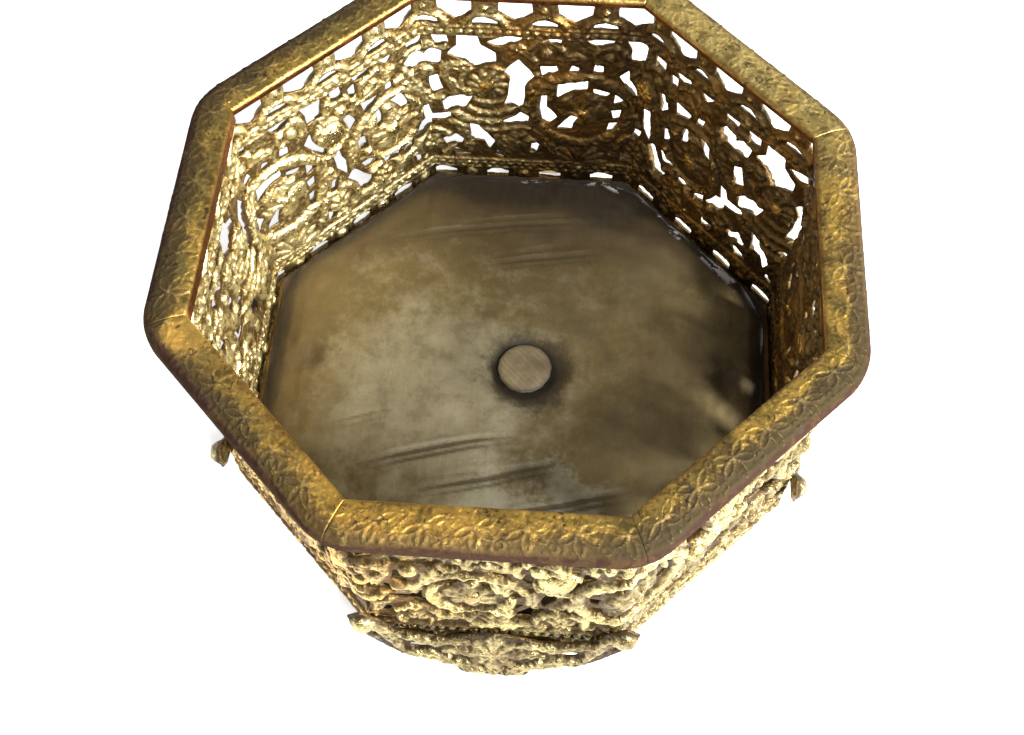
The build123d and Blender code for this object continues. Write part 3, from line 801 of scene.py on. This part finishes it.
def make_cushion():
    line = np.arange(-51.5, 51.6, 0.5)
    coarse = simulated_puff()

    def field(a, b):
        return octagon_distance(a, b, 50.1) + 0.25 * waves(a, b, 11.0, 7)

    def front(a, b, depth):
        high = cushion_height(a, b) + creases(a, b) - SATIN_SEAM
        if coarse is not None:
            high = high + sampled(coarse[0], coarse[1], a, b) * unit(depth / 6)
        seam = -0.1 * bell((depth - 2.2) / 0.35)
        return rolled(depth, 3.4) * (high + seam)

    def back(a, b, depth):
        return unit(depth / 0.8) * (SATIN_SEAM - CUSHION_LOW)

    def place(a, b, offset):
        return np.stack([a, b, SATIN_SEAM + offset], 1)

    def shades(a, b, depth, height):
        return creases(a, b) * 1.6 + 0.5

    points, faces, flat, tone, _ = pierced_plate(line, line, field, front, back, place, shades)
    edge = np.clip(field(points[:, 0], points[:, 1]), 0, 9)
    cushion = new_mesh("satin_cushion", points, faces, flat, {"crease": tone, "edge": edge})
    cushion.data.materials.append(SATIN)
    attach(cushion, "root")
    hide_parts("cushion_cover", "cushion_wadding")


def make_button():
    """The covered button: a pillowed disc with a rolled edge and small tucks below."""
    rings, spokes = 26, 96
    t = np.linspace(0, 1, rings)
    r = 5.25 * np.sin(unit(t * 1.25) * pi / 2)
    z = 12.95 - 1.75 * t**3 - 0.7 * unit((t - 0.8) / 0.2)
    r = r - 0.5 * unit((t - 0.8) / 0.2) ** 2
    angle = np.linspace(0, 2 * pi, spokes, endpoint=False)
    tuck = 1 + 0.02 * np.sin(14 * angle)[:, None] * t[None, :] ** 3
    x = (r[None, 1:] * np.cos(angle)[:, None]) * tuck[:, 1:]
    y = (r[None, 1:] * np.sin(angle)[:, None]) * tuck[:, 1:] * 0.98
    h = z[None, 1:] + 0.05 * waves(x, y, 4.0, 2)
    points = np.concatenate([np.stack([x, y, h], 2).reshape(-1, 3), [[0, 0, z[0]], [0, 0, z[-1]]]])
    points[:, 0] += BUTTON_AT
    n = rings - 1
    faces = []
    for k in range(spokes):
        a, b = k * n, (k + 1) % spokes * n
        faces.append((a, b, spokes * n))
        faces.append((a + n - 1, spokes * n + 1, b + n - 1))
        for i in range(n - 1):
            faces.append((a + i, a + i + 1, b + i + 1))
            faces.append((a + i, b + i + 1, b + i))
    button = new_mesh("covered_button", points, np.array(faces))
    button.data.materials.append(BUTTON)
    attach(button, "root")
    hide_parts("button_cloth")


# ---------------- materials
class Nodes:
    """Small helper that builds one principled material."""

    def __init__(self, name):
        self.material = bpy.data.materials.new(name)
        self.material.use_nodes = True
        self.nodes = self.material.node_tree.nodes
        self.links = self.material.node_tree.links
        self.nodes.clear()
        self.shader = self.node("BsdfPrincipled")
        self.node("OutputMaterial", Surface=self.shader.outputs[0])
        self.where = self.node("TexCoord").outputs["Object"]
        split = self.node("SeparateXYZ", Vector=self.where)
        self.x, self.y = split.outputs["X"], split.outputs["Y"]
        self.colour = None

    def plug(self, source, socket):
        if hasattr(source, "is_output"):
            self.links.new(source, socket)
        else:
            socket.default_value = source

    def node(self, kind, **inputs):
        """A new shader node with its named inputs set or linked."""
        made = self.nodes.new("ShaderNode" + kind)
        for key, value in inputs.items():
            self.plug(value, made.inputs[key.replace("_", " ")])
        return made

    def noise(self, scale, detail=3, rough=0.55, twist=0, stretch=None):
        at = self.node("Mapping", Vector=self.where, Scale=stretch).outputs[0] if stretch else self.where
        made = self.node("TexNoise", Vector=at, Scale=scale, Detail=detail, Roughness=rough, Distortion=twist)
        return made.outputs["Fac"]

    def attribute(self, name):
        made = self.node("Attribute")
        made.attribute_name = name
        return made.outputs["Fac"]

    def ramp(self, value, low, high, to=1, start=0):
        """Smooth step: start where value is low, to where it is high."""
        made = self.node("MapRange", Value=value, From_Min=low, From_Max=high, To_Min=start, To_Max=to)
        made.interpolation_type = "SMOOTHSTEP"
        return made.outputs[0]

    def math(self, kind, a, b):
        made = self.node("Math")
        made.operation = kind
        self.plug(a, made.inputs[0])
        self.plug(b, made.inputs[1])
        return made.outputs[0]

    def plus(self, a, b):
        return self.math("ADD", a, b)

    def minus(self, a, b):
        return self.math("SUBTRACT", a, b)

    def times(self, a, b):
        return self.math("MULTIPLY", a, b)

    def swing(self, noise, amount):
        """A noise turned into a wander either side of nothing."""
        return self.times(self.minus(noise, 0.5), amount)

    def distance(self, x, y):
        square = self.plus(self.math("POWER", x, 2.0), self.math("POWER", y, 2.0))
        return self.math("POWER", square, 0.5)

    def mix(self, factor, a, b):
        made = self.node("Mix")
        made.data_type = "RGBA"
        self.plug(factor, made.inputs[0])
        for value, socket in ((a, made.inputs[6]), (b, made.inputs[7])):
            self.plug(value if hasattr(value, "is_output") else (*value, 1), socket)
        return made.outputs[2]

    def tint(self, factor, colour):
        """Lays one more colour over what the surface has so far."""
        self.colour = self.mix(factor, self.colour, colour)

    def ribs(self, direction, scale, twist):
        """Fine woven ribs."""
        made = self.node("TexWave", Vector=self.where, Scale=scale, Distortion=twist)
        made.bands_direction = direction
        return made.outputs["Fac"]

    def bump(self, height, distance, strength):
        made = self.node("Bump", Strength=strength, Distance=distance, Height=height)
        self.links.new(made.outputs[0], self.shader.inputs["Normal"])

    def set(self, **values):
        for key, value in values.items():
            self.plug(value, self.shader.inputs[key.replace("_", " ")])


def gilt(name, bright, dull, dark, stain):
    """Aged gilt brass: bright on the high points, dull in the field, dark in the recesses. Walls turned away
    from the light carry painted shade, and inner faces carry painted light.
    """
    m = Nodes(name)
    relief = m.attribute("relief")
    cloud = m.ramp(m.noise(90, 4, 0.6, 0.6), 0.35, 0.68)
    fine = m.noise(900, 3, 0.6)
    grain = m.swing(fine, 0.8)
    lumps = m.noise(520, 4, 0.65)
    mottle = m.plus(grain, m.swing(lumps, 1.4))
    worn = m.ramp(m.plus(relief, mottle), 0.25, 0.95)
    m.colour = m.mix(worn, dark, m.mix(cloud, dull, bright))
    # Inner faces get a paler, brighter palette than the outer ones: painted light from the key on the right,
    # with pale yellow painted highlights on the high points.
    glow = m.mix(m.ramp(cloud, 0, 1, 0.5), (0.98, 0.86, 0.46), (0.62, 0.44, 0.15))
    inner = m.mix(m.ramp(m.plus(relief, grain), 0.08, 0.55), (0.20, 0.13, 0.045), glow)
    m.tint(m.attribute("within"), inner)
    spots = m.ramp(m.noise(420, 2, 0.5, 1), 0.62, 0.72, 0.6)
    m.tint(spots, stain)
    # Painted shade on the wall faces turned away from the light: dark brown in noisy patches, with painted
    # orange glints on the high points.
    patches = m.ramp(m.noise(160, 3, 0.6, 0.8), 0.62, 0.7, 0.55, 1)
    painted_shade = m.times(m.times(m.attribute("painted_shade"), 0.93), patches)
    brown = m.mix(m.ramp(cloud, 0.5, 1), (0.13, 0.075, 0.028), (0.25, 0.13, 0.035))
    m.tint(painted_shade, m.mix(m.ramp(m.plus(relief, grain), 0.62, 0.88), brown, (0.88, 0.54, 0.16)))
    m.set(Base_Color=m.colour, Metallic=1)
    m.set(Roughness=m.ramp(worn, 0, 1, 0.2, 0.5))
    facets = m.plus(m.times(lumps, 1.4), m.times(fine, 0.8))
    m.bump(facets, 0.0004, 0.9)
    return m.material


WALL_COLOURS = (0.64, 0.54, 0.235), (0.27, 0.205, 0.085), (0.07, 0.045, 0.02), (0.09, 0.06, 0.035)
FOOT_COLOURS = (0.60, 0.51, 0.235), (0.24, 0.18, 0.085), (0.055, 0.038, 0.022), (0.10, 0.07, 0.04)
FILIGREE = gilt("gilt_filigree", *WALL_COLOURS)
FOOT = gilt("gilt_foot", *FOOT_COLOURS)


def rim_metal():
    m = Nodes("gilt_rim")
    relief = m.attribute("relief")
    outward = m.attribute("outward")
    cloud = m.noise(110, 6, 0.62, 0.8)
    fine = m.noise(650, 5, 0.7)
    patina = m.noise(230, 6, 0.7, 0.6)
    broad = m.noise(38, 4, 0.6, 1)
    m.colour = m.mix(m.ramp(cloud, 0.42, 0.58), (0.36, 0.26, 0.08), (0.74, 0.48, 0.115))
    m.tint(m.ramp(broad, 0.54, 0.68, 0.6), (0.22, 0.20, 0.105))
    dusk = m.ramp(m.plus(outward, m.times(broad, 0.5)), 0.5, 0.85, 0.2)
    low_right = m.times(m.ramp(m.y, 0, -0.02), m.ramp(m.x, 0.004, 0.03, 0.15))
    leftward = m.ramp(m.x, -0.022, -0.046)
    toward_back = m.times(leftward, m.ramp(m.y, -0.034, -0.014, 0.1))
    low_right = m.plus(low_right, toward_back)
    warm = m.times(m.ramp(m.y, -0.012, -0.034), m.ramp(m.x, 0.03, -0.02, 0.5))
    warm = m.times(warm, m.ramp(m.plus(outward, broad), 1.15, 0.75))
    spread = m.plus(patina, m.plus(dusk, m.times(low_right, m.ramp(outward, 0.25, 0.6))))
    m.tint(m.ramp(spread, 0.52, 0.66, 0.85), (0.080, 0.056, 0.032))
    lit = m.times(m.ramp(m.y, 0.004, 0.034), m.ramp(m.x, 0, 0.024))
    m.tint(m.times(lit, m.ramp(outward, 0.8, 0.55, 0.55)), (0.86, 0.68, 0.25))
    m.tint(warm, (0.84, 0.47, 0.08))
    grit = m.noise(430, 4, 0.75, 0.4)
    m.tint(m.ramp(grit, 0.47, 0.6, 0.62), (0.15, 0.095, 0.035))
    raised = m.plus(relief, m.swing(fine, 1))
    m.tint(m.ramp(raised, 0.45, 1.2, 0.6), (0.62, 0.47, 0.19))
    m.tint(m.ramp(raised, 0.12, -0.25, 0.6), (0.13, 0.075, 0.03))
    corner = m.times(m.ramp(m.y, 0.004, -0.02), m.ramp(m.x, -0.004, 0.024))
    blur = m.swing(patina, 0.8)
    dull = m.times(corner, m.ramp(m.plus(outward, blur), 0.32, 0.56))
    dull = m.times(dull, m.ramp(raised, 0.5, 1.1, 0.45, 1))
    m.tint(m.times(dull, 0.85), (0.032, 0.026, 0.015))
    edge = m.plus(outward, m.swing(cloud, 0.3))
    m.tint(m.ramp(edge, 0.14, 0.05, 0.6), (0.30, 0.16, 0.04))
    m.tint(m.ramp(outward, 0.012, 0, 0.9), (0.26, 0.075, 0.028))
    fold = m.distance(m.plus(m.x, 0.0493), m.plus(m.y, 0.0242))
    fold = m.plus(fold, m.swing(grit, 0.004))
    m.tint(m.ramp(fold, 0.005, 0.0025, 0.75), (0.90, 0.56, 0.13))
    # Painted shade on the rim's outer rolled edge, wider on the left: a mottled dark brown, and less
    # metallic.
    shaded = m.ramp(m.plus(edge, m.times(leftward, 0.14)), 0.72, 0.83)
    lip_shade = m.mix(m.ramp(patina, 0.5, 0.62, 0.7), (0.040, 0.020, 0.016), (0.085, 0.050, 0.022))
    m.tint(m.times(shaded, 0.93), lip_shade)
    specks = m.ramp(m.noise(520, 2, 0.5, 1.5), 0.62, 0.7, 0.75)
    m.tint(specks, (0.05, 0.035, 0.03))
    m.set(Base_Color=m.colour, Specular_IOR_Level=0)
    m.set(Metallic=m.ramp(m.plus(shaded, m.times(dull, 0.75)), 0, 1, 0.1, 1))
    m.set(Roughness=m.ramp(spread, 0.4, 0.7, 0.62, 0.36))
    m.bump(m.plus(fine, m.times(m.noise(1800, 3), 0.6)), 0.0002, 0.7)
    return m.material


RIM = rim_metal()


def satin():
    # Satin with real stains, dust and frayed threads, and with painted shade, painted shadow and painted
    # sheen.
    m = Nodes("satin_soil_and_shade")
    cloud = m.noise(26, 5, 0.6, 0.5)
    blotch = m.noise(60, 4, 0.6, 0.8)
    x, y = m.x, m.y
    right = m.ramp(m.plus(x, m.swing(cloud, 0.05)), -0.03, 0.045)
    fray = m.noise(150, 7, 0.75)
    dust = m.noise(48, 8, 0.72)
    m.colour = m.mix(right, (0.152, 0.112, 0.036), (0.165, 0.124, 0.05))
    m.tint(m.ramp(dust, 0.44, 0.6, 0.6), (0.105, 0.078, 0.03))
    off = m.swing(dust, 0.10)
    # Painted sheen: a pale pool a little to the left of and in front of the cushion's middle.
    painted_sheen = m.plus(m.distance(m.plus(x, 0.016), m.plus(y, 0.012)), off)
    m.tint(m.ramp(painted_sheen, 0.032, 0.012, 0.6), (0.29, 0.265, 0.175))
    m.tint(m.ramp(blotch, 0.47, 0.68, 0.5), (0.12, 0.08, 0.028))
    light_fray = m.times(m.ramp(fray, 0.48, 0.66), m.ramp(right, 0, 1, 0.1, 0.4))
    m.tint(light_fray, (0.33, 0.30, 0.20))
    m.tint(m.ramp(fray, 0.5, 0.38, 0.35), (0.06, 0.045, 0.02))
    # Painted shade in the two dents at the cushion's left and right edges.
    for side in (-1, 1):
        dent = m.distance(m.minus(x, 0.041 * side), m.minus(y, 0.0005))
        dent = m.plus(dent, m.swing(fray, 0.008))
        m.tint(m.ramp(dent, 0.0055, 0.001, 0.85), (0.05, 0.032, 0.014))
    # Painted sheen: a pale patch over the pleats at the front, a little right of the middle.
    pleat_sheen = m.plus(m.distance(m.minus(x, 0.010), m.plus(y, 0.033)), off)
    m.tint(m.ramp(pleat_sheen, 0.019, 0.008, 0.6), (0.36, 0.34, 0.25))
    left = m.plus(x, m.swing(dust, 0.05))
    m.tint(m.ramp(left, -0.028, -0.046, 0.6), (0.125, 0.078, 0.022))
    back = m.plus(y, m.swing(cloud, 0.04))
    m.tint(m.ramp(back, 0.016, 0.042, 0.85), (0.055, 0.036, 0.016))
    from_button = m.minus(x, BUTTON_AT * MM)
    r = m.distance(from_button, y)
    # Darker towards the edges, away from the button: brown stains, and painted shade where the cushion rolls
    # down.
    grime_and_shade = m.ramp(m.plus(r, m.swing(cloud, 0.03)), 0.038, 0.056)
    m.tint(m.times(grime_and_shade, 0.75), (0.075, 0.048, 0.016))
    # Painted shadow round the button in its dimple, heavier towards the front right, and near-black just
    # outside the button's edge.
    low = m.distance(m.minus(from_button, 0.0006), m.plus(y, 0.0007))
    ring = m.ramp(m.plus(low, m.swing(fray, 0.012)), 0.011, 0.006)
    m.tint(m.times(ring, 0.9), (0.030, 0.020, 0.010))
    m.tint(m.ramp(r, 0.0070, 0.0058, 0.9), (0.012, 0.008, 0.004))
    # Painted shadow: a near-black band along the back edge, under the back wall.
    m.tint(m.ramp(back, 0.036, 0.045, 0.8), (0.012, 0.008, 0.005))
    # Creases: painted highlight on their ridges and painted shade in their grooves.
    crease = m.attribute("crease")
    m.tint(m.ramp(crease, 0.56, 0.95, 0.4), (0.40, 0.37, 0.27))
    m.tint(m.ramp(crease, 0.46, 0.1, 0.8), (0.055, 0.038, 0.018))
    # Painted shadow: a near-black band along the cushion's edge, in the gap by the walls.
    rim_gap = m.ramp(m.plus(m.attribute("edge"), m.swing(fray, 4)), 5, 1.2)
    m.tint(m.times(rim_gap, 0.9), (0.022, 0.015, 0.009))
    bits = m.times(m.ramp(m.noise(230, 4, 0.7), 0.55, 0.6), m.ramp(m.attribute("edge"), 3.6, 2.2))
    bits = m.times(bits, m.ramp(y, 0.016, 0.026))
    m.tint(m.times(bits, m.ramp(x, -0.01, 0.002)), (0.80, 0.79, 0.80))
    threads = m.noise(900, 2, 0.6, 0, (1, 0.08, 1))
    m.tint(m.ramp(threads, 0.4, 0.7, 0.12), (0.09, 0.07, 0.035))
    m.set(Base_Color=m.colour, Metallic=0, Sheen_Weight=0.06, Roughness=0.6, Specular_IOR_Level=0.35)
    m.bump(m.plus(m.ribs("X", 720, 0.6), m.times(threads, 0.8)), 0.00004, 0.5)
    return m.material


SATIN = satin()


def twill():
    m = Nodes("button_twill")
    cloud = m.noise(220, 4, 0.6, 0.5)
    m.colour = m.mix(m.ramp(cloud, 0.35, 0.7), (0.26, 0.21, 0.115), (0.14, 0.105, 0.052))
    r = m.distance(m.minus(m.x, BUTTON_AT * MM), m.y)
    m.tint(m.ramp(r, 0.0042, 0.0053, 0.7), (0.09, 0.06, 0.03))
    ribs = m.ribs("DIAGONAL", 460, 0.8)
    m.tint(m.ramp(ribs, 0.2, 0.8, 0.22), (0.12, 0.085, 0.045))
    m.set(Base_Color=m.colour, Roughness=0.6, Sheen_Weight=0.2)
    m.bump(ribs, 0.0001, 0.7)
    return m.material


BUTTON = twill()


def plain(name, light, dark, scale, rough, metallic):
    """Quiet procedural finish for the pieces that are mostly hidden."""
    m = Nodes(name)
    cloud = m.noise(scale, 5, 0.6, 0.4)
    m.set(Base_Color=m.mix(m.ramp(cloud, 0.3, 0.7), dark, light), Metallic=metallic, Roughness=rough)
    m.bump(m.noise(scale * 8, 3), 0.00008, 0.5)
    return m.material


HIDDEN = {
    # Base plate brass darkened: painted shade for its edge, which shows in the gap between the cushion and
    # the walls.
    "base_plate": plain("base_brass", (0.30, 0.20, 0.075), (0.09, 0.055, 0.02), 60, 0.5, 1.0),
    "cushion_board": plain("stained_card", (0.060, 0.042, 0.028), (0.018, 0.012, 0.008), 300, 0.85, 0.0),
    "button_shell": plain("tin_shell", (0.52, 0.51, 0.49), (0.36, 0.35, 0.33), 200, 0.4, 1.0),
    "button_back": plain("tin_back", (0.50, 0.49, 0.47), (0.34, 0.33, 0.31), 200, 0.4, 1.0),
    "tuft_thread": plain("waxed_thread", (0.42, 0.36, 0.25), (0.30, 0.25, 0.17), 900, 0.7, 0.0),
}
for node, material in HIDDEN.items():
    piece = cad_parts[node]
    piece.data.materials.clear()
    piece.data.materials.append(material)

# ---------------- the object
for index, name in enumerate(SIDE_NAMES):
    make_wall(index, name)
    make_rim(name, index)
for name in FOOT_SIDES:
    make_foot(name)
make_cushion()
make_button()

# ---------------- floor, light, camera
floor_mesh = bpy.data.meshes.new("floor")
floor_mesh.from_pydata([(-6, -6, 0), (6, -6, 0), (6, 6, 0), (-6, 6, 0)], [], [(0, 1, 2, 3)])
floor = new_object("floor", floor_mesh)
paper = Nodes("paper_floor")
tint = paper.mix(paper.ramp(paper.noise(3, 2), 0.3, 0.7), (0.90, 0.90, 0.90), (0.93, 0.93, 0.93))
paper.set(Base_Color=tint, Roughness=0.9, Emission_Color=(1, 1, 1, 1), Emission_Strength=0.58)
floor.data.materials.append(paper.material)


def area_light(name, at, to, power, size, colour):
    lamp = bpy.data.lights.new(name, "AREA")
    lamp.energy = power
    lamp.size = size
    lamp.color = colour
    obj = new_object(name, lamp)
    obj.location = at
    obj.rotation_mode = "QUATERNION"
    obj.rotation_quaternion = (Vector(at) - Vector(to)).to_track_quat("Z", "Y")


centre = (0.0, 0.0, 0.03)
area_light("key", (0.62, -0.26, 0.40), centre, 19.0, 0.2, (1.0, 0.98, 0.94))
area_light("fill", (0.25, -0.5, 0.75), centre, 4.5, 0.16, (1.0, 1.0, 1.0))

world = bpy.data.worlds.new("studio")
world.use_nodes = True
sky = world.node_tree.nodes["Background"].inputs
sky["Color"].default_value = (1, 1, 1, 1)
sky["Strength"].default_value = 0.42
bpy.context.scene.world = world
bpy.context.scene.view_settings.view_transform = "Standard"

ELEVATION = radians(61.37)
YAW = radians(-5.314)
ROLL = radians(-1.404)
forward = Vector((sin(YAW) * cos(ELEVATION), cos(YAW) * cos(ELEVATION), -sin(ELEVATION)))
right = Vector((cos(YAW), -sin(YAW), 0.0))
up = right.cross(forward)
rolled_right = cos(ROLL) * right + sin(ROLL) * up
rolled_up = -sin(ROLL) * right + cos(ROLL) * up
camera_data = bpy.data.cameras.new("camera")
camera_data.lens = 44.25
camera_data.sensor_width = 36.0
camera_data.clip_start = 0.01
camera = new_object("camera", camera_data)
turn = Matrix((rolled_right, rolled_up, -forward)).transposed().to_4x4()
camera.matrix_world = Matrix.Translation((0.01055, -0.1192, 0.2313)) @ turn
bpy.context.scene.camera = camera
